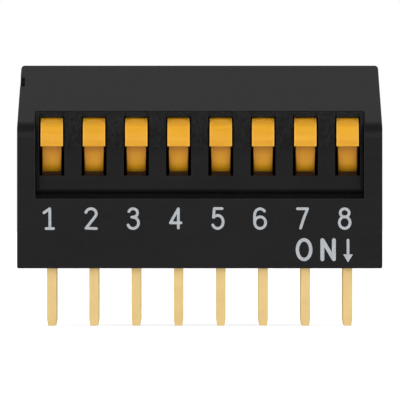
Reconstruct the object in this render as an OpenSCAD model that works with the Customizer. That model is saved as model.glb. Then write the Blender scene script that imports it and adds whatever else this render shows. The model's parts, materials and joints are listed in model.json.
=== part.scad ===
// Side-lever (piano) DIP switch: a row of levers in a moulded case over two rows of board pins.
//
// Frame: X runs along the row of levers, -Y points out of the lever face, +Z points up.
// The origin is the centre of the pin pattern, on the board plane that the body sits on.
// Every lever is drawn in its upper, open position. It turns about its trunnions, and
// lever_throw degrees downwards closes the contact.
//
// Most pieces are drawn as a section in (depth behind the front face, height) and run
// along X. What belongs to a lever is drawn about its pivot, at an angle of 0 straight
// forward and 90 straight up.

/* [Poles] */
// Number of levers in the row
poles = 8; // [2:1:12]
// Distance between neighbouring levers
pitch = 2.54; // [2.45:0.01:3.2]
// Distance between the front and the rear row of pins
row_gap = 7.62; // [7.4:0.01:10.2]

/* [Case] */
// Length that the two ends of the case add to the row of poles
end_extra = 1.64; // [1.6:0.02:3]
// Height of the case above the board
case_h = 12.22; // [11.2:0.01:15]
// Height at which the front starts to lean back
waist_h = 8.4; // [7.8:0.01:8.8]
// Angle of the leaning face from upright
lean = 50; // [44:1:56]
// Radius of the bend at the waist
waist_r = 1.5; // [0.4:0.05:1.8]
// Draft of the end walls above the waist
end_draft = 3.4; // [0:0.1:5]
// Thickness of the front and back walls
front_wall = 0.4; // [0.35:0.01:0.6]
// Thickness of the end walls
end_wall = 0.55; // [0.45:0.01:0.7]
// Thickness of the roof and of the leaning face
roof_wall = 0.7; // [0.5:0.01:0.9]
// Radius of the moulded outer edges
edge_r = 0.22; // [0.05:0.01:0.3]

/* [Lever opening] */
// Width of the cheek at each side of the opening
cheek_w = 1.09; // [1:0.01:1.3]
// Height of the opening's lower edge
opening_low = 4.18; // [3.6:0.01:4.6]

/* [Lever frame] */
// Depth of the windowed face behind the case's front
face_inset = 0.44; // [0.2:0.01:0.5]
// Thickness of the windowed face
face_t = 0.8; // [0.6:0.01:0.9]
// Width of the bevel down each side of the windowed face
bevel_w = 0.24; // [0.05:0.01:0.3]
// Depth of that bevel
bevel_t = 0.07; // [0.02:0.01:0.4]
// Gap between the frame's lower edge and the opening's lower edge
sill_gap = 0.31; // [0.1:0.01:0.35]
// Radius of the frame's lower edge
sill_r = 0.45; // [0.1:0.01:0.5]
// Height of the finger recess above each window
finger_bevel = 0.31; // [0.1:0.01:0.5]
// Depth of that recess at the window's upper edge
finger_t = 0.2; // [0:0.01:0.3]
// Angle that the recess leans back from upright
finger_lean = 40; // [30:1:45]
// Height of the parting ledge across the windowed face
ledge_h = 7.17; // [6.5:0.01:8]
// Depth of that ledge
ledge_t = 0.03; // [0.01:0.01:0.08]

/* [Lever] */
// Height of the pivot
pivot_h = 7.34; // [7.1:0.01:7.6]
// Radius of the knob's curved face about the pivot
knob_r = 2.25; // [1.9:0.01:2.4]
// Width of the knob
knob_w = 1.34; // [1.1:0.01:1.6]
// Height of the knob above the drum
knob_rise = 0.35; // [0.3:0.01:0.5]
// Depth below the pivot where the drum's visible face ends in a step
drum_foot = 1.52; // [1.3:0.01:1.7]
// How much narrower the drum is than the knob, on each side
drum_step = 0.095; // [0.05:0.005:0.2]
// Angle that the knob covers, which is also the lever's throw
lever_throw = 50; // [42:1:56]
// Radius of the trunnions
trunnion_r = 0.36; // [0.25:0.01:0.45]
// Radius of the bearing bosses at each side of the drum
boss_r = 0.62; // [0.55:0.01:0.75]

/* [Contacts] */
// Thickness of the terminal sheet
sheet_t = 0.25; // [0.2:0.01:0.3]
// Width of a terminal inside the body
terminal_w = 0.8; // [0.6:0.01:1]
// Width of a board pin
pin_w = 0.57; // [0.45:0.01:0.7]
// Length of a board pin below the body
pin_l = 3.45; // [2:0.01:5]
// Width of a pin's tip
tip_w = 0.43; // [0.2:0.01:0.45]
// Length of the taper at a pin's tip
tip_l = 0.36; // [0.1:0.01:0.6]
// Thickness of the moving contact
clip_t = 0.12; // [0.08:0.01:0.15]
// Width of the moving contact
clip_w = 0.7; // [0.5:0.01:0.9]
// Height of the moving contact's ridges above its strip
ridge_h = 0.23; // [0.15:0.01:0.26]
// Depth of the sealing groove that each row of pins leaves the base in
groove_t = 0.2; // [0.05:0.05:0.3]

/* [Fits] */
// Depth of the knob's face behind the case's front
knob_back = 0.02; // [0.01:0.01:0.1]
// Clearance at each side of a knob in its window
side_gap = 0.08; // [0.05:0.01:0.12]
// Clearance above and below the knob at the ends of its throw
end_gap = 0.04; // [0.03:0.01:0.1]
// Clearance between moulded pieces that are fitted together
fit_gap = 0.03; // [0.01:0.01:0.05]
// Radial clearance of the trunnions in their bearings
bearing_gap = 0.04; // [0.02:0.01:0.06]
// Clearance round the terminals in the base
seat_gap = 0.01; // [0.01:0.01:0.02]
// Clearance between the moving contact's ridges and the terminals
wipe_gap = 0.02; // [0.01:0.01:0.05]

/* [Hidden] */
function numbered(name) = [for (i = [1:poles]) str(name, i)];
$fn = 64;
// Longer than anything in the part, and how far a cut runs past the surface that it opens
far = 50;
over = 1;

black_case = "#2a2b2c";
black_frame = "#222324";
black_base = "#303030";
amber = "#eba22e";
gold = "#e4c887";

// Outer size of the case. The pins' outer faces lie just inside its front and back walls.
case_w = poles * pitch + end_extra;
case_d = row_gap + sheet_t + 2 * (front_wall + fit_gap);
base_front = front_wall + fit_gap;
base_back = case_d - base_front;
cavity_w = case_w - 2 * end_wall;

// Lever, and the window and the opening that it moves in
pivot_back = knob_r + knob_back;
drum_r = knob_r - knob_rise;
drum_w = knob_w - 2 * drum_step;
window_w = knob_w + 2 * side_gap;
window_h = 2 * (knob_r * sin(lever_throw) + end_gap);
window_high = pivot_h + window_h / 2;
frame_low = opening_low + sill_gap;
frame_high = window_high + finger_bevel;
opening_high = frame_high + fit_gap;
opening_w = case_w - 2 * cheek_w;

// Heights on the leaning face and on its inner side, where both start at a depth of 0
inner_waist = waist_h - roof_wall / sin(lean);
inner_top = case_h - roof_wall;
function lean_depth(h, foot) = (h - foot) * tan(lean);

// Radii about the pivot, from the drum outwards
clip_gap = 0.1;
clip_r = drum_r + clip_gap;
ridge_r = clip_r + clip_t + ridge_h;
ridge_round = 0.3;
pad_r = ridge_r + wipe_gap;
saddle_r = pad_r + sheet_t;
partition_r = saddle_r - 2 * fit_gap;

// Trunnions and bearings: the web between neighbouring trunnions, and how much
// narrower than a trunnion the slot is that it snaps through
web_t = 0.24;
snap_in = 0.08;
bore_r = trunnion_r + bearing_gap;
trunnion_l = (pitch - web_t) / 2;

// Angles about the pivot. The front pad runs from -90 to front_pad_to and the rear pad from
// rear_pad_from to -180. The contact's ridges reach closed_at when the lever is down.
front_pad_to = -152;
rear_pad_from = -162;
closed_at = [-145, -180];
ridge_at = [for (at = closed_at) at + lever_throw];
clip_from = ridge_at[0] + 8;
clip_to = ridge_at[1] - 8;

// Levels and depths of the base and of the bends of the terminals in it
step_h = opening_low - 2 * fit_gap;
run_h = step_h - 0.42;
pad_low = pivot_h - pad_r;
rear_run_h = pivot_h + 0.5;
base_h = rear_run_h + sheet_t + fit_gap;
riser_d = pivot_back - 0.65;
bend_r = 0.08;
shoulder_h = 0.35;
groove_w = sheet_t + 0.3;

// Latches that hold the case on the base
latch_h = 1.5;
latch_w = 1.5;
latch_t = 0.9;
latch_spread = 3.6;
latch_out = 0.3;

function unit(v) = v / norm(v);

// The arc that rounds corner q between its neighbours p and s
function corner(p, q, s, r, n = 8) =
    r == 0 ? [q] :
    let (
        a = unit(p - q),
        b = unit(s - q),
        half = acos(a * b) / 2,
        c = q + unit(a + b) * r / sin(half),
        u = q + a * r / tan(half) - c,
        v = q + b * r / tan(half) - c,
        from = atan2(u[1], u[0]),
        turn = (atan2(v[1], v[0]) - from + 540) % 360 - 180
    )
    [for (i = [0:n]) c + r * [cos(from + turn * i / n), sin(from + turn * i / n)]];

function flat(p) = [p[0], p[1]];

// An outline whose corners [x, y, r] are rounded to radius r
function rounded(pts) =
    let (n = len(pts))
    [
        for (i = [0:n - 1])
            each corner(flat(pts[(i + n - 1) % n]), flat(pts[i]), flat(pts[(i + 1) % n]), pts[i][2])
    ];

function pole_x(i) = (i - (poles + 1) / 2) * pitch;

// Runs a section in (depth, height) along X
module across(w) {
    rotate([90, 0, 90]) linear_extrude(w, center = true) children();
}

// Runs an outline in (X, height) through the whole depth
module through() {
    rotate([90, 0, 0]) linear_extrude(2 * far, center = true) children();
}

// Stands children about the pivot, which are drawn in (forward, up)
module at_pivot() {
    translate([0, pivot_back, pivot_h]) rotate([90, 0, -90]) children();
}

// Moves a piece from (X, depth, height) to the part's frame
module placed(i) {
    translate([i == undef ? 0 : pole_x(i), -case_d / 2, 0]) children();
}

module sector(inner, outer, from, to) {
    mid = (from + to) / 2;
    reach = 2 * outer;
    intersection() {
        difference() {
            circle(outer);
            circle(inner);
        }
        polygon([
            [0, 0],
            reach * [cos(from), sin(from)],
            reach * [cos(mid), sin(mid)],
            reach * [cos(to), sin(to)]
        ]);
    }
}

// ---- Case ----

// The case's outline from the front, drawn in by a wall and cut off at a height
function case_front(inset, low, high, r) =
    let (
        half = case_w / 2 - inset,
        top = half - (high - waist_h) * tan(end_draft)
    )
    rounded([
        [-half, low, r / 2], [-half, waist_h, 0], [-top, high, r],
        [top, high, r], [half, waist_h, 0], [half, low, r / 2]
    ]);

module case_outside() {
    intersection() {
        across(case_w)
            polygon(rounded([
                [0, 0, 0], [0, waist_h, waist_r],
                [lean_depth(case_h, waist_h), case_h, edge_r / 2],
                [case_d, case_h, edge_r], [case_d, 0, 0]
            ]));
        through() polygon(case_front(0, 0, case_h, edge_r));
        linear_extrude(case_h)
            polygon(rounded([
                [-case_w / 2, 0, edge_r / 2], [case_w / 2, 0, edge_r / 2],
                [case_w / 2, case_d, edge_r], [-case_w / 2, case_d, edge_r]
            ]));
    }
}

// The hollow of the case, drawn in by a clearance
module case_hollow(gap = 0) {
    foot = inner_waist - gap / sin(lean);
    front = front_wall + gap;
    high = inner_top - gap;
    intersection() {
        across(cavity_w - 2 * gap)
            polygon([
                [front, -over], [front, foot + front / tan(lean)],
                [lean_depth(high, foot), high],
                [case_d - front, high], [case_d - front, -over]
            ]);
        through() polygon(case_front(end_wall + gap, -over, high, 0));
    }
}

module latch_windows(grow) {
    for (side = [-1, 1], d = [-1, 1])
        translate([side * case_w / 2, (case_d + d * latch_spread) / 2, latch_h])
            cube([4 * end_wall, latch_w + 2 * grow, latch_t + 2 * grow], center = true);
}

// Ribs under the roof that hold the base down
module roof_ribs() {
    rib_t = 0.5;
    front = pivot_back + saddle_r + 1;
    back = case_d - front_wall / 2;
    for (i = [2:2:poles - 1])
        translate([pole_x(i) + pitch / 2, 0, 0])
            across(rib_t)
                translate([front, base_h + fit_gap])
                    square([back - front, case_h - roof_wall / 2 - base_h - fit_gap]);
}

// The shallow ring and nub that the moulding gate leaves on the back
module gate_mark() {
    ring_r = 0.5;
    nub_r = 0.16;
    depth = 0.05;
    translate([0, case_d, case_h / 3])
        rotate([90, 0, 0])
            difference() {
                cylinder(r = ring_r, h = 2 * depth, center = true);
                cylinder(r = nub_r, h = 3 * depth, center = true);
            }
}

// The notch in the leaning face's end that marks lever 1's side
module end_mark() {
    notch_high = case_h - 0.73;
    notch_h = 0.54;
    notch_w = 0.45;
    notch_d = 0.9;
    translate([-case_w / 2, lean_depth(notch_high, waist_h) - notch_d, notch_high - notch_h])
        cube([notch_w, 2 * notch_d, notch_h]);
}

module case_shell() {
    color(black_case) placed() {
        difference() {
            case_outside();
            case_hollow();
            translate([-opening_w / 2, -over, opening_low])
                cube([opening_w, case_d / 2, opening_high - opening_low]);
            latch_windows(fit_gap);
            end_mark();
            gate_mark();
        }
        roof_ribs();
    }
}

// ---- Lever frame ----

module frame_face() {
    half = opening_w / 2 - fit_gap;
    back = face_inset + face_t;
    intersection() {
        across(2 * half)
            polygon(rounded([
                [face_inset, frame_low, sill_r], [face_inset, ledge_h, 0],
                [face_inset + ledge_t, ledge_h, 0], [face_inset + ledge_t, frame_high, 0.08],
                [back, frame_high, 0], [back, frame_low, 0]
            ]));
        linear_extrude(case_h)
            polygon([
                [-half, face_inset + bevel_t], [-half + bevel_w, face_inset],
                [half - bevel_w, face_inset], [half, face_inset + bevel_t],
                [half, back], [-half, back]
            ]);
    }
}

// The walls between the levers, which carry the trunnions
module frame_walls() {
    front = face_inset + face_t / 2;
    intersection() {
        across(cavity_w - 2 * fit_gap) {
            intersection() {
                translate([pivot_back, pivot_h]) circle(partition_r);
                translate([front, 0]) square([case_d, frame_high]);
            }
        }
        union() {
            case_hollow(fit_gap);
            translate([-opening_w / 2 + fit_gap, 0, frame_low])
                cube([opening_w - 2 * fit_gap, case_d / 2, frame_high - frame_low]);
        }
    }
}

// The window, the finger recess above it and the space for the drum between the walls
module lever_slot() {
    recess = face_inset + finger_t;
    recess_back = recess + finger_bevel * tan(finger_lean);
    across(window_w) {
        translate([-over, window_high - window_h]) square([over + pivot_back, window_h]);
        polygon([
            [0, window_high], [recess, window_high], [recess_back, frame_high],
            [recess_back, case_h], [0, case_h]
        ]);
        intersection() {
            translate([pivot_back, pivot_h]) circle(partition_r + over);
            translate([face_inset + face_t, 0]) square([case_d, case_h]);
        }
    }
}

// The lip behind the window's lower edge, which closes the gap under the drum
module window_lip() {
    root = 0.1;
    face_back = face_inset + face_t;
    lip_back = pivot_back - 0.3 * drum_r;
    lip_high = pivot_h - drum_r + 0.01;
    lip_low = pad_low + 0.15;
    across(window_w + 2 * root)
        polygon([
            [face_back - root, lip_low], [face_back - root, window_high - window_h],
            [face_back, window_high - window_h], [face_back + root, lip_high],
            [lip_back, lip_high], [lip_back, lip_low]
        ]);
}

// Bosses on the walls, which keep the drum in the middle of its window
module bosses() {
    root = 0.1;
    at_pivot() difference() {
        cylinder(r = boss_r, h = window_w + 2 * root, center = true);
        cylinder(r = boss_r + over, h = drum_w + 2 * fit_gap, center = true);
    }
}

// The bearings, which the trunnions snap into from behind
module bearings() {
    length = (poles - 1) * pitch + 2 * (trunnion_l + fit_gap);
    snap = 2 * trunnion_r - snap_in;
    at_pivot() {
        cylinder(r = bore_r, h = length, center = true);
        translate([-saddle_r, -snap / 2, -length / 2]) cube([saddle_r, snap, length]);
    }
}

module lever_frame() {
    color(black_frame) placed() difference() {
        union() {
            difference() {
                union() {
                    frame_face();
                    frame_walls();
                }
                for (i = [1:poles]) translate([pole_x(i), 0, 0]) lever_slot();
            }
            for (i = [1:poles])
                translate([pole_x(i), 0, 0]) {
                    window_lip();
                    bosses();
                }
        }
        bearings();
    }
}

// ---- Base ----

module base_section() {
    difference() {
        union() {
            translate([base_front, 0]) square([base_back - base_front, step_h]);
            translate([riser_d - sheet_t, 0]) square([base_back - riser_d + sheet_t, base_h]);
        }
        translate([pivot_back, pivot_h]) circle(saddle_r);
        translate([0, pad_low - sheet_t]) square([pivot_back, case_h]);
        translate([pivot_back, pivot_h]) square([saddle_r, case_h]);
        for (d = [base_front, base_back])
            translate([d, 0]) square([2 * groove_w, 2 * groove_t], center = true);
    }
}

// Shallow grooves in the base's bowl, which the walls of the lever frame stand in
module wall_grooves() {
    depth = 0.05;
    for (i = [0:poles])
        translate([pole_x(i) + pitch / 2, 0, 0])
            across(pitch - window_w + 2 * fit_gap)
                translate([pivot_back, pivot_h]) circle(saddle_r + depth);
}

// Ramped noses that snap into the case's windows
module latches() {
    half = cavity_w / 2 - fit_gap;
    root = half - end_wall;
    for (side = [-1, 1], d = [-1, 1])
        translate([0, (case_d + d * latch_spread) / 2, latch_h])
            rotate([90, 0, 0])
                linear_extrude(latch_w, center = true)
                    polygon([
                        [side * root, -latch_t / 2], [side * (half + latch_out), -latch_t / 2],
                        [side * half, latch_t / 2], [side * root, latch_t / 2]
                    ]);
}

// Shallow round marks that the mould's ejectors leave on the underside
module ejector_marks() {
    mark_r = 0.55;
    depth = 0.05;
    for (side = [-1, 1])
        translate([side * case_w / 4, case_d / 2, 0])
            cylinder(r = mark_r, h = 2 * depth, center = true);
}

module base() {
    color(black_base) placed() difference() {
        union() {
            across(cavity_w - 2 * fit_gap) base_section();
            latches();
        }
        wall_grooves();
        ejector_marks();
        for (i = [1:poles])
            translate([pole_x(i), 0, 0]) {
                front_blank(seat_gap);
                rear_blank(seat_gap);
            }
    }
}

// ---- Levers ----

module lever_knob() {
    round_r = 0.03;
    rotate_extrude(angle = lever_throw)
        polygon(rounded([
            [drum_r / 2, -knob_w / 2, 0], [knob_r, -knob_w / 2, round_r],
            [knob_r, knob_w / 2, round_r], [drum_r / 2, knob_w / 2, 0]
        ]));
}

module lever_drum() {
    chamfer = 0.05;
    rotate_extrude()
        polygon([
            [0, -drum_w / 2], [drum_r - chamfer, -drum_w / 2], [drum_r, -drum_w / 2 + chamfer],
            [drum_r, drum_w / 2 - chamfer], [drum_r - chamfer, drum_w / 2], [0, drum_w / 2]
        ]);
}

// The section of the moving contact, or of its slots in the drum
module clip_section(grow) {
    leg_l = 0.55;
    leg_angle = (clip_t + 2 * grow) / clip_r * 180 / PI;
    sector(clip_r - grow, clip_r + clip_t + grow, clip_from, clip_to);
    for (at = [clip_from, clip_to])
        rotate(at)
            translate([clip_r + clip_t - leg_l - grow, -clip_t / 2 - grow])
                square([leg_l + grow, clip_t + 2 * grow]);
}

// Drum, knob and trunnions. The drum is stepped below its face, cut flat behind and slotted
// for the contact.
module lever(i) {
    flat_at = 165;
    flat_r = 1.3;
    step_back = 0.5;
    color(amber) placed(i) at_pivot() {
        difference() {
            union() {
                lever_drum();
                lever_knob();
            }
            linear_extrude(far, center = true) {
                clip_section(seat_gap);
                rotate(flat_at) translate([flat_r, -far / 2]) square(far);
                translate([step_back, -drum_foot - far]) square(far);
            }
        }
        cylinder(r = trunnion_r, h = 2 * trunnion_l, center = true);
    }
}

module contact_clip(i) {
    color(gold) placed(i) at_pivot()
        linear_extrude(clip_w, center = true) {
            clip_section(0);
            difference() {
                for (at = ridge_at)
                    rotate(at) translate([ridge_r - ridge_round, 0]) circle(ridge_round);
                circle(clip_r);
            }
        }
}

// ---- Terminals ----

// The outline of a terminal from the front: wide in the body, a slim pin with a tapered tip below
module terminal_front(grow) {
    half = pin_w / 2 + grow;
    through() {
        translate([-terminal_w / 2 - grow, shoulder_h - grow]) square([terminal_w + 2 * grow, far]);
        polygon([
            [-tip_w / 2, -pin_l], [tip_w / 2, -pin_l],
            [half, tip_l - pin_l], [half, case_h], [-half, case_h], [-half, tip_l - pin_l]
        ]);
    }
}

// The front pin, its jog back into the base and the pad that lies under the lever
module front_blank(grow = 0) {
    out = base_front - grow;
    in = base_front + sheet_t + grow;
    low = run_h - grow;
    high = run_h + sheet_t + grow;
    top = pad_low + grow;
    outer_r = bend_r + sheet_t;
    intersection() {
        union() {
            across(far)
                polygon(rounded([
                    [out, -pin_l, 0], [out, high, outer_r], [riser_d - grow, high, bend_r],
                    [riser_d - grow, top, outer_r], [pivot_back, top, 0],
                    [pivot_back, top - sheet_t - 2 * grow, 0],
                    [riser_d + sheet_t + grow, top - sheet_t - 2 * grow, bend_r],
                    [riser_d + sheet_t + grow, low, outer_r], [in, low, bend_r], [in, -pin_l, 0]
                ]));
            at_pivot()
                linear_extrude(far, center = true)
                    sector(pad_r - grow, saddle_r + grow, -90, front_pad_to);
        }
        terminal_front(grow);
    }
}

// The rear pin, its run over the base and the pad that stands behind the lever
module rear_blank(grow = 0) {
    out = base_back + grow;
    in = base_back - sheet_t - grow;
    near = pivot_back + pad_r - grow;
    back = pivot_back + saddle_r + grow;
    high = rear_run_h + sheet_t + grow;
    low = rear_run_h - grow;
    outer_r = bend_r + sheet_t;
    intersection() {
        union() {
            across(far)
                polygon(rounded([
                    [near, pivot_h, 0], [near, high, outer_r], [out, high, outer_r],
                    [out, -pin_l, 0], [in, -pin_l, 0], [in, low, bend_r],
                    [back, low, bend_r], [back, pivot_h, 0]
                ]));
            at_pivot()
                linear_extrude(far, center = true)
                    sector(pad_r - grow, saddle_r + grow, rear_pad_from, -180);
        }
        terminal_front(grow);
    }
}

module front_terminal(i) {
    color(gold) placed(i) front_blank();
}

module rear_terminal(i) {
    color(gold) placed(i) rear_blank();
}

case_shell();  // case
lever_frame();
base();
for (i = [1:poles]) {
    lever(i);
    contact_clip(i);
    front_terminal(i);
    rear_terminal(i);
}
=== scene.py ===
import json
import math

import bmesh
import bpy
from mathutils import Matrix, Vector
from mathutils.geometry import delaunay_2d_cdt


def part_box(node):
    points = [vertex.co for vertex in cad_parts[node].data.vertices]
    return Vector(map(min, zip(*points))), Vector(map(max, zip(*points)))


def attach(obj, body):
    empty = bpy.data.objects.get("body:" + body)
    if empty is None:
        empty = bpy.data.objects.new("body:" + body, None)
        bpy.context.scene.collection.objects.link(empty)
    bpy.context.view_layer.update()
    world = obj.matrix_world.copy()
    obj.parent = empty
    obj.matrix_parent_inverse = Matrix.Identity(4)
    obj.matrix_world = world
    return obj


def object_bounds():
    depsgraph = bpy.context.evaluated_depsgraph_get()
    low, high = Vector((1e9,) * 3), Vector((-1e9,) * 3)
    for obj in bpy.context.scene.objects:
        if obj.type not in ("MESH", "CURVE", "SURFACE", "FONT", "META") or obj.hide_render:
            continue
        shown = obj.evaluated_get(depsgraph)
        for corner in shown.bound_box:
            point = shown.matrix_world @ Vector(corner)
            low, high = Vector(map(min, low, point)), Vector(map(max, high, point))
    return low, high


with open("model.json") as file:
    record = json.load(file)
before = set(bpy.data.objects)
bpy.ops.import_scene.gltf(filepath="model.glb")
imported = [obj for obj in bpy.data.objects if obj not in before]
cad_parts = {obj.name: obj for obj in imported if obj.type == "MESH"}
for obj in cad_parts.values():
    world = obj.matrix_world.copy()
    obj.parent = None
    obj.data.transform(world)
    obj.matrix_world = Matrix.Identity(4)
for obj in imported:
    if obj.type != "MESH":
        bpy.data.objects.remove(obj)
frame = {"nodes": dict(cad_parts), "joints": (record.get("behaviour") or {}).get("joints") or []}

# A side-lever DIP switch: a black case on two rows of gold pins, and in its front a windowed
# panel with an amber lever in each window. X runs along the levers, -Y points out of their
# face and +Z up. All shapes but the printed marks and the floor are the CAD's own.

MM = 0.001
CAD_LOW, CAD_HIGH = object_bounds()
CASE_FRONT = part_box("case")[0].y
POLES = len(frame["joints"])
PIVOT = Vector(frame["joints"][0]["pos_m"])
PITCH = frame["joints"][1]["pos_m"][0] - PIVOT.x

BLACK = (0, 0, 0, 1)
WHITE = (1, 1, 1, 1)


# ---- Node trees ----

class Shade:
    """A socket in a node tree. Sums of shades and numbers add Math nodes."""

    def __init__(self, tree, socket=None):
        self.tree = tree
        self.socket = socket

    def node(self, kind, settings=None, inputs=None, output=0):
        """Adds a node: its settings first, then a value or a shade for each named input."""
        made = self.tree.nodes.new(kind)
        for name, value in (settings or {}).items():
            setattr(made, name, value)
        for name, value in (inputs or {}).items():
            if isinstance(value, Shade):
                self.tree.links.new(value.socket, made.inputs[name])
            else:
                made.inputs[name].default_value = value
        return Shade(self.tree, made.outputs[output] if made.outputs else None)

    def maths(self, operation, *values):
        return self.node("ShaderNodeMath", {"operation": operation}, dict(enumerate(values)))

    def __add__(self, other):
        return self.maths("ADD", self, other)

    __radd__ = __add__

    def __sub__(self, other):
        return self.maths("SUBTRACT", self, other)

    def __rsub__(self, other):
        return self.maths("SUBTRACT", other, self)

    def __mul__(self, other):
        return self.maths("MULTIPLY", self, other)

    __rmul__ = __mul__

    def __pow__(self, other):
        return self.maths("POWER", self, other)

    def __abs__(self):
        return self.maths("ABSOLUTE", self)


def new_material(name):
    """A material with an empty tree, and a shade to build it from."""
    material = bpy.data.materials.new(name)
    material.use_nodes = True
    material.node_tree.nodes.clear()
    return material, Shade(material.node_tree)


def finish_material(tree, **sockets):
    """Joins a Principled shader to the output. Names are its sockets with _ for a space."""
    named = {name.replace("_", " "): value for name, value in sockets.items()}
    shader = tree.node("ShaderNodeBsdfPrincipled", None, named)
    tree.node("ShaderNodeOutputMaterial", None, {"Surface": shader})


def millimetres(tree):
    """The place on the part at rest, in millimetres. It stays with a piece that moves."""
    place = tree.node("ShaderNodeTexCoord", output="Object")
    return tree.node(
        "ShaderNodeVectorMath", {"operation": "SCALE"}, {0: place, "Scale": 1 / MM}
    )


def axes(place):
    """The X, Y and Z of a place, as three shades."""
    split = place.node("ShaderNodeSeparateXYZ", None, {0: place}).socket.node
    return [Shade(place.tree, output) for output in split.outputs]


def stretched(place, x=1, y=1, z=1):
    """A place with each axis scaled, so that a texture on it runs into streaks."""
    return place.node(
        "ShaderNodeVectorMath", {"operation": "MULTIPLY"}, {0: place, 1: (x, y, z)}
    )


def noise(place, per_mm, detail=2.0, roughness=0.5):
    return place.node(
        "ShaderNodeTexNoise", None,
        {"Vector": place, "Scale": per_mm, "Detail": detail, "Roughness": roughness},
    )


def ramp(value, low, high, dark=0.0, light=1.0):
    """Goes from dark to light as a value goes from low to high."""
    return value.node(
        "ShaderNodeMapRange", {"clamp": True},
        {"Value": value, "From Min": low, "From Max": high, "To Min": dark, "To Max": light},
    )


def spread(texture, reach, dark=0.0, light=1.0):
    """Goes from dark to light over a noise's own values, which stay within a reach of 0.5."""
    return ramp(texture, 0.5 - reach, 0.5 + reach, dark, light)


def wander(texture, amount):
    """A small number that goes up and down about 0 with a noise."""
    return amount * (texture - 0.5)


def blend(factor, first, second):
    """A colour between two colours."""
    # A Mix node has sockets for each type of value, and these are the ones for colours.
    colour_a, colour_b, colour_out = 6, 7, 2
    return factor.node(
        "ShaderNodeMix", {"data_type": "RGBA"},
        {"Factor": factor, colour_a: first, colour_b: second}, output=colour_out,
    )


def edge_rounding(tree, radius):
    """1 on the rounding of an edge and 0 on open faces, with the rounded normal. The materials
    paint edge highlights and darker edge reflections with this mask.
    """
    # How far from in line the two normals are, at turns of about 8 and 33 degrees
    bend_starts, bend_is_full = 0.01, 0.16
    rounded = tree.node("ShaderNodeBevel", {"samples": 6}, {"Radius": radius})
    plain = tree.node("ShaderNodeNewGeometry", output="Normal")
    along = tree.node(
        "ShaderNodeVectorMath", {"operation": "DOT_PRODUCT"},
        {0: rounded, 1: plain}, output="Value",
    )
    return ramp(1 - along, bend_starts, bend_is_full), rounded


def bumped(height, normal, depth):
    """A normal that follows a texture, on which a height of 1 is so many metres deep."""
    return height.node(
        "ShaderNodeBump", None,
        {"Height": height, "Normal": normal, "Distance": depth, "Strength": 1.0},
    )


# ---- Finishes ----

# How much of the colour painted on an edge's rounding shows on it: a painted highlight on the
# plastics, and on the gold a greyer sheared edge with a painted darker reflection
EDGE_PAINT_SHARE = 0.7

# Where the panel's skin changes at its parting ledge, in millimetres above the board
LEDGE_HEIGHTS = (7.17, 7.19)

# Where a lever's painted shade and painted highlight change, in millimetres: radii about the
# pivot, heights above it or to both sides of it, and distances from the lever's middle plane
KNOB_RADII = (1.96, 2.02)
TIP_HEIGHTS = (1.12, 1.42)
LIP_HEIGHTS = (0.28, 0.42)
STEP_HEIGHTS = (-1.53, -1.5)
CENTRE_HEIGHTS = (0, 1.4)
DRUM_SIDES = (0.05, 0.55)
KNOB_SIDES = (0.56, 0.66)

# How far each place goes towards the painted shade, and the knob's sides towards the painted
# highlight
TIP_SHARE, LIP_SHARE, STEP_SHARE, CENTRE_SHARE, SIDES_SHARE = 0.3, 0.1, 0.95, 0.56, 0.6
HIGHLIGHT_SHARE = 0.35

# The two ends of the amber's own variation, on the drum painted darker as shade and on the knob,
# then the colours of its painted shade and painted highlight
DRUM_SHADED_AMBER = (0.63, 0.295, 0.011, 1), (0.70, 0.345, 0.015, 1)
KNOB_AMBER = (0.67, 0.325, 0.017, 1), (0.74, 0.38, 0.025, 1)
SHADE_AMBER = (0.28, 0.09, 0.003, 1)
HIGHLIGHT_AMBER = (0.86, 0.50, 0.12, 1)

SHEARED_AND_REFLECTION_GREY = (0.55, 0.46, 0.28, 1)
THIN_INK, FULL_INK = (0.31, 0.33, 0.35, 1), (0.435, 0.46, 0.485, 1)
DULL_PAPER, BRIGHT_PAPER = (0.58, 0.58, 0.58, 1), (0.62, 0.62, 0.62, 1)


def black_moulding(name, grey, edge_highlight_grey, edge_r, roughness, ior, mottled_above=None):
    """Glass-filled black plastic with a spark-eroded skin: grain, faint flow marks, and paler
    edges that are a painted highlight.
    Above the given heights in millimetres, if any, the skin is mottled more strongly."""
    material, tree = new_material(name)
    place = millimetres(tree)
    edge, rounded = edge_rounding(tree, edge_r * MM)
    skin = noise(place, per_mm=9, detail=3, roughness=0.6)
    pits = noise(place, per_mm=26, detail=1)
    flow = noise(stretched(place, x=0.25, z=0.9), per_mm=0.8, detail=3)
    mottle = spread(skin, 0.2, dark=-0.1, light=0.1)
    if mottled_above is not None:
        upper = ramp(axes(place)[2], *mottled_above)
        streak = noise(stretched(place, z=0.6), per_mm=7)
        mottle = mottle + upper * spread(streak, 0.15, dark=-0.35, light=0.35)
    shade = spread(flow, 0.15, dark=0.9, light=1.1) * (mottle + 1)
    # The shade is about 1, so half of it lies midway between black and twice the grey.
    plain = blend(shade * 0.5, BLACK, (2 * grey, 2 * grey, 2.04 * grey, 1))
    finish_material(
        tree,
        # The edges' paler grey is a painted highlight, where rounded edges catch the light.
        Base_Color=blend(edge * EDGE_PAINT_SHARE, plain, (edge_highlight_grey, edge_highlight_grey, edge_highlight_grey, 1)),
        Roughness=roughness + wander(skin, 0.12) + wander(flow, 0.12),
        IOR=ior,
        Normal=bumped(skin + 0.5 * pits, rounded, 0.01 * MM),
    )
    return material


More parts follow.
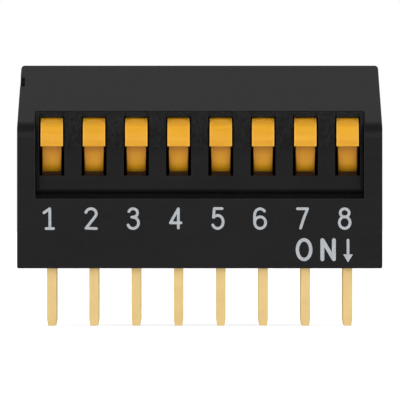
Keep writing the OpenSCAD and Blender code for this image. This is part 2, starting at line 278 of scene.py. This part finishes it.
def amber_moulding():
    """Slightly translucent amber plastic with painted shade in its colour: darker at the knob's
    tip and lip, on the drum just below the knob, towards the drum's sides and below its step,
    and the drum as a whole darker than the knob. Painted highlights make the knob's sides and
    edges paler.
    The knob has faint bands, the drum turning marks."""
    material, tree = new_material("amber_moulding")
    place = millimetres(tree)
    x, y, z = axes(place)
    # X is 0 midway between two levers, so this zigzag is 0 in the middle of every lever.
    half_pitch = PITCH / MM / 2
    aside = half_pitch - x.maths("PINGPONG", x, half_pitch)
    above = z - PIVOT.z / MM
    radius = ((y - PIVOT.y / MM) ** 2 + above ** 2) ** 0.5
    edge, rounded = edge_rounding(tree, 0.04 * MM)

    knob = ramp(radius, *KNOB_RADII)
    # Painted shade: the knob darker at its tip, under the window's top edge, and a little at its
    # lip.
    tip = ramp(above, *TIP_HEIGHTS, 0, TIP_SHARE) * knob
    lip = ramp(above, *LIP_HEIGHTS, LIP_SHARE, 0) * knob
    # Painted shade below the drum's step, in the gap above the window's lower edge.
    step = ramp(above, *STEP_HEIGHTS, STEP_SHARE, 0)
    # Painted shadow of the knob on the drum just below it.
    centre = ramp(abs(above), *CENTRE_HEIGHTS, CENTRE_SHARE, 0) * (1 - knob)
    # Painted shade towards the drum's sides, beside the window walls.
    sides = ramp(aside, *DRUM_SIDES) ** 2 * SIDES_SHARE * (1 - knob)
    # All of the painted shade together.
    painted_shade = 1 - (1 - tip - lip - centre) * (1 - sides) * (1 - step)
    # Painted highlight: every edge's rounding and the knob's sides paler.
    painted_highlight = edge * 0.4 + ramp(aside, *KNOB_SIDES, 0, HIGHLIGHT_SHARE) * knob

    bands = noise(stretched(place, x=0.06), per_mm=3.5)
    turning = noise(stretched(place, y=0.04, z=0.04), per_mm=14)
    marks = knob * bands + (1 - knob) * turning
    flow = noise(stretched(place, x=0.4), per_mm=1.3)
    tone = spread(flow, 0.15) * 0.4 + spread(marks, 0.18) * 0.6
    # The drum's amber is the knob's amber painted darker, as shade inside the window.
    plain = blend(knob, blend(tone, *DRUM_SHADED_AMBER), blend(tone, *KNOB_AMBER))
    body = blend(painted_shade, plain, SHADE_AMBER)
    finish_material(
        tree,
        Base_Color=blend(painted_highlight, body, HIGHLIGHT_AMBER),
        Roughness=0.3 + wander(flow, 0.12),
        Specular_IOR_Level=0.22,
        Subsurface_Weight=0.4,
        Subsurface_Radius=(1.0, 0.55, 0.12),
        Subsurface_Scale=0.25 * MM,
        Normal=bumped(marks, rounded, 0.005 * MM),
    )
    return material


def gold_plate(name, colour, roughness):
    """Thin gold over stamped strip: rolling lines along the pin, rougher sheared edges, and a
    painted darker reflection in the greyer colour of those edges.
    """
    material, tree = new_material(name)
    place = millimetres(tree)
    edge, rounded = edge_rounding(tree, 0.06 * MM)
    rolled = noise(stretched(place, z=0.05), per_mm=24)
    cloud = noise(place, per_mm=1.4, detail=3)
    tone = spread(rolled, 0.15) * 0.4 + spread(cloud, 0.15) * 0.6
    darker = tuple(0.93 * part for part in colour)
    plate = blend(tone, darker + (1,), colour + (1,))
    finish_material(
        tree,
        # The greyer edge colour is the sheared metal, with a painted darker reflection where
        # edges turn away.
        Base_Color=blend(edge * EDGE_PAINT_SHARE, plate, SHEARED_AND_REFLECTION_GREY),
        Metallic=1.0,
        Roughness=roughness + wander(cloud, 0.15) + 0.12 * edge,
        Normal=bumped(rolled, rounded, 0.002 * MM),
    )
    return material


def printing_ink():
    """Matt pale ink, a little thin in places."""
    material, tree = new_material("printing_ink")
    place = millimetres(tree)
    wash = noise(place, per_mm=7, detail=3)
    speck = noise(place, per_mm=22)
    cover = spread(wash, 0.15) * 0.5 + spread(speck, 0.2) * 0.5
    normal = tree.node("ShaderNodeNewGeometry", output="Normal")
    finish_material(
        tree,
        Base_Color=blend(cover, THIN_INK, FULL_INK),
        Roughness=0.55 + wander(wash, 0.1),
        Specular_IOR_Level=0.3,
        Normal=bumped(speck, normal, 0.004 * MM),
    )
    return material


def bench_paper():
    """White paper with a little light of its own, which keeps the shadows on it faint."""
    material, tree = new_material("bench_paper")
    fibre = noise(millimetres(tree), per_mm=3, detail=4)
    finish_material(
        tree,
        Base_Color=blend(spread(fibre, 0.2), DULL_PAPER, BRIGHT_PAPER),
        Roughness=0.8 + 0.05 * fibre,
        Specular_IOR_Level=0.2,
        Emission_Color=WHITE,
        Emission_Strength=0.68,
    )
    return material


def dress(node, material):
    """Gives a CAD node one finish."""
    mesh = frame["nodes"][node].data
    mesh.materials.clear()
    mesh.materials.append(material)


def dress_part():
    """Gives every CAD node its finish."""
    dress("case", black_moulding(
        "case_moulding", grey=0.004, edge_highlight_grey=0.05, edge_r=0.07, roughness=0.3, ior=1.285,
    ))
    # Its black is paler and less glossy than the case's, which paints light into the shade of
    # the recess and the window slots.
    dress("lever_frame", black_moulding(
        "frame_moulding", grey=0.0105, edge_highlight_grey=0.02, edge_r=0.05, roughness=0.36, ior=1.17,
        mottled_above=LEDGE_HEIGHTS,
    ))
    dress("base", black_moulding(
        "base_moulding", grey=0.006, edge_highlight_grey=0.014, edge_r=0.05, roughness=0.42, ior=1.285,
    ))
    amber = amber_moulding()
    contact_gold = gold_plate("contact_gold", (0.93, 0.72, 0.36), roughness=0.25)
    pin_gold = gold_plate("pin_gold", (0.825, 0.605, 0.268), roughness=0.45)
    for pole in range(1, POLES + 1):
        dress(f"lever_{pole}", amber)
        dress(f"contact_clip_{pole}", contact_gold)
        dress(f"front_terminal_{pole}", pin_gold)
        dress(f"rear_terminal_{pole}", pin_gold)


# ---- Objects ----

def add_object(name, data):
    """Puts a mesh, a light or a camera into the scene."""
    made = bpy.data.objects.new(name, data)
    bpy.context.scene.collection.objects.link(made)
    return made


def add_mesh(name, mesh, material):
    """Puts a finished bmesh into the scene, with one material."""
    data = bpy.data.meshes.new(name)
    mesh.to_mesh(data)
    mesh.free()
    data.materials.append(material)
    return add_object(name, data)


# ---- Printed marks ----
# Marks are drawn as pen strokes, each a list of points, and filled outlines.

def arc(centre, radius, start, end, squash=1.0, steps=16):
    """Points along an arc, from one angle to another in degrees."""
    points = []
    for n in range(steps + 1):
        turn = math.radians(start + (end - start) * n / steps)
        points.append(
            (centre[0] + radius * math.cos(turn), centre[1] + squash * radius * math.sin(turn))
        )
    return points


# The strokes of each numeral, for a height of 1
NUMERALS = [
    [[(-0.24, 0.80), (0.05, 1.0), (0.06, 0.0)], [(-0.13, 0.0), (0.24, 0.0)]],
    [arc((0, 0.755), 0.265, 166, -36, 0.93) + [(-0.25, 0.02), (0.27, 0.0)]],
    [
        arc((-0.01, 0.79), 0.225, 160, -84, 0.94) + [(-0.08, 0.575)],
        [(-0.08, 0.575)] + arc((-0.01, 0.285), 0.275, 84, -158, 1.03),
    ],
    [[(0.14, 0.03), (0.14, 1.0), (-0.26, 0.29), (0.27, 0.29)]],
    [[(0.21, 1.01), (-0.18, 1.01), (-0.22, 0.57)] + arc((-0.01, 0.335), 0.28, 134, -152, 1.18)],
    [
        arc((0, 0.30), 0.28, 0, 360, 1.05),
        [(-0.28, 0.30), (-0.28, 0.62)] + arc((0, 0.69), 0.275, 172, 38, 1.12),
    ],
    [[(-0.25, 1.0), (0.26, 1.0), (0.06, 0.50), (-0.09, 0.02)]],
    [arc((0, 0.79), 0.225, 0, 360, 0.93), arc((0, 0.30), 0.275, 0, 360, 1.07)],
]

# Their height and pen width, how far above the board they stand, and how far beside the
# levers' middles, to the left
NUMERAL_H = 1.19 * MM
NUMERAL_PEN = 0.165 * MM
NUMERAL_Z = 2.395 * MM
NUMERAL_SHIFT = 0.18 * MM

# Name, place along the case, pen width, strokes and filled outlines, in millimetres
ON_MARKS = [
    ("printed_on_o", 6.27, 0.205, [arc((0, 0.582), 0.402, 0, 360, 1.47, steps=32)], []),
    ("printed_on_n", 7.37, 0.235, [[(0, 0.01), (0, 1.155), (0.69, 0.01), (0.69, 1.155)]], []),
    (
        "printed_arrow", 8.91, 0.165, [[(0, 1.15), (0, 0.2)]],
        [[(-0.29, 0.30), (-0.02, -0.16), (0.02, -0.16), (0.29, 0.30)]],
    ),
]
ON_Z = 0.545 * MM

INK_FRONT = CASE_FRONT - 0.008 * MM

# Sides of a stroke's round ends, and how close two points are taken for one, in metres
PEN_SIDES = 16
SAME_POINT = 1e-7


def pen_outlines(path, pen):
    """The outlines of a round-ended pen stroke: a dot at each point and a bar between them."""
    half = pen / 2
    turns = [math.tau * n / PEN_SIDES for n in range(PEN_SIDES)]
    outlines = [
        [dot + Vector((math.cos(turn), math.sin(turn))) * half for turn in turns]
        for dot in path
    ]
    for start, end in zip(path, path[1:]):
        side = (end - start).normalized().orthogonal() * half
        outlines.append([start - side, end - side, end + side, start + side])
    return outlines


def united(outlines):
    """The points and faces of the flat shape that a set of outlines covers."""
    points = []
    shapes = []
    for outline in outlines:
        shapes.append([len(points) + n for n in range(len(outline))])
        points.extend(outline)
    places, _, faces, _, _, covered = delaunay_2d_cdt(points, [], shapes, 0, SAME_POINT)
    return places, [face for face, owners in zip(faces, covered) if owners]


def ink_mark(name, ink, strokes, place, size, pen, fills=()):
    """A film of ink on the case's front, with its strokes and filled outlines as one solid."""
    def on_case(drawn):
        return [Vector((place[0] + x * size, place[1] + y * size)) for x, y in drawn]

    outlines = []
    for stroke in strokes:
        outlines.extend(pen_outlines(on_case(stroke), pen))
    outlines.extend(on_case(outline) for outline in fills)
    places, faces = united(outlines)

    mesh = bmesh.new()
    front = [mesh.verts.new((p.x, INK_FRONT, p.y)) for p in places]
    back = [mesh.verts.new((p.x, CASE_FRONT, p.y)) for p in places]
    edges = set()
    for face in faces:
        mesh.faces.new([front[n] for n in face])
        mesh.faces.new([back[n] for n in reversed(face)])
        edges.update(zip(face, face[1:] + face[:1]))
    for a, b in edges:
        if (b, a) not in edges:
            mesh.faces.new([front[b], front[a], back[a], back[b]])
    loose = [vert for vert in mesh.verts if not vert.link_faces]
    bmesh.ops.delete(mesh, geom=loose, context="VERTS")
    bmesh.ops.recalc_face_normals(mesh, faces=mesh.faces)
    mark = add_mesh(name, mesh, ink)
    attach(mark, "housing")


def print_marks(ink):
    """Numbers under the levers, and ON with an arrow that shows which way closes a contact."""
    for n, strokes in enumerate(NUMERALS):
        x = (n - (POLES - 1) / 2) * PITCH - NUMERAL_SHIFT
        ink_mark(f"printed_{n + 1}", ink, strokes, (x, NUMERAL_Z), NUMERAL_H, NUMERAL_PEN)
    for name, x, pen, strokes, fills in ON_MARKS:
        ink_mark(name, ink, strokes, (x * MM, ON_Z), MM, pen * MM, fills)


# ---- Bench, light and camera ----

# How far the floor goes to each side, in metres
FLOOR_REACH = 3.0

# How bright the room is to the camera, and how much of it lights the part
BACKDROP_LIGHT, ROOM_LIGHT = 1, 0.37

# The point that the camera looks at, its distance from the case's front, and the width seen
VIEW_X, VIEW_Z = 0.018 * MM, 4.11 * MM
VIEW_AWAY = 1.0
VIEW_W = 24.03 * MM


def paper_floor(material):
    """A wide sheet of white paper that the pins stand on."""
    mesh = bmesh.new()
    corners = [(-1, -1), (1, -1), (1, 1), (-1, 1)]
    mesh.faces.new([
        mesh.verts.new((x * FLOOR_REACH, y * FLOOR_REACH, CAD_LOW.z)) for x, y in corners
    ])
    add_mesh("paper_floor", mesh, material)


def aim_light(name, light, place):
    """Puts a light at a place and turns it to look at the part's origin."""
    lamp = add_object(name, light)
    lamp.location = place
    lamp.rotation_euler = (-Vector(place)).to_track_quat("-Z", "Y").to_euler()


def far_light(name, aside, up, across, irradiance):
    """A round diffuser far off, so many degrees aside from the front, up, and across."""
    light = bpy.data.lights.new(name, "SUN")
    light.angle = math.radians(across)
    light.energy = irradiance
    turn, rise = math.radians(aside), math.radians(up)
    aim_light(
        name, light,
        (math.sin(turn) * math.cos(rise), -math.cos(turn) * math.cos(rise), math.sin(rise)),
    )


def softbox(name, away, up, width, height, radiance):
    """A rectangular light in front of the part, so many metres away and degrees up."""
    light = bpy.data.lights.new(name, "AREA")
    light.shape = "RECTANGLE"
    light.size = width
    light.size_y = height
    light.energy = math.pi * width * height * radiance
    rise = math.radians(up)
    aim_light(name, light, (0, -away * math.cos(rise), away * math.sin(rise)))


def light_room():
    """A white room, brighter to the camera than to the part, and four soft lights."""
    world = bpy.data.worlds.new("studio")
    world.use_nodes = True
    world.node_tree.nodes.clear()
    tree = Shade(world.node_tree)
    seen = tree.node("ShaderNodeLightPath", output="Is Camera Ray")
    backdrop = tree.node(
        "ShaderNodeBackground", None,
        {"Color": WHITE, "Strength": ramp(seen, 0, 1, ROOM_LIGHT, BACKDROP_LIGHT)},
    )
    tree.node("ShaderNodeOutputWorld", None, {"Surface": backdrop})
    bpy.context.scene.world = world
    bpy.context.scene.view_settings.view_transform = "Standard"
    far_light("top_light", aside=180, up=75, across=40, irradiance=0.37)
    far_light("left_light", aside=-60, up=32, across=22, irradiance=1.06)
    far_light("right_light", aside=60, up=32, across=22, irradiance=1.06)
    softbox("front_light", away=0.3, up=26, width=0.3, height=0.12, radiance=1.35)


def set_camera():
    """Square to the lever face, and far enough off that the rear pins hide behind the front."""
    camera = bpy.data.cameras.new("camera")
    camera.sensor_width = 36
    camera.lens = camera.sensor_width * VIEW_AWAY / VIEW_W
    holder = add_object("camera", camera)
    holder.location = (VIEW_X, CASE_FRONT - VIEW_AWAY, VIEW_Z)
    holder.rotation_euler = (math.radians(90), 0, 0)
    bpy.context.scene.camera = holder


dress_part()
print_marks(printing_ink())
paper_floor(bench_paper())
light_room()
set_camera()
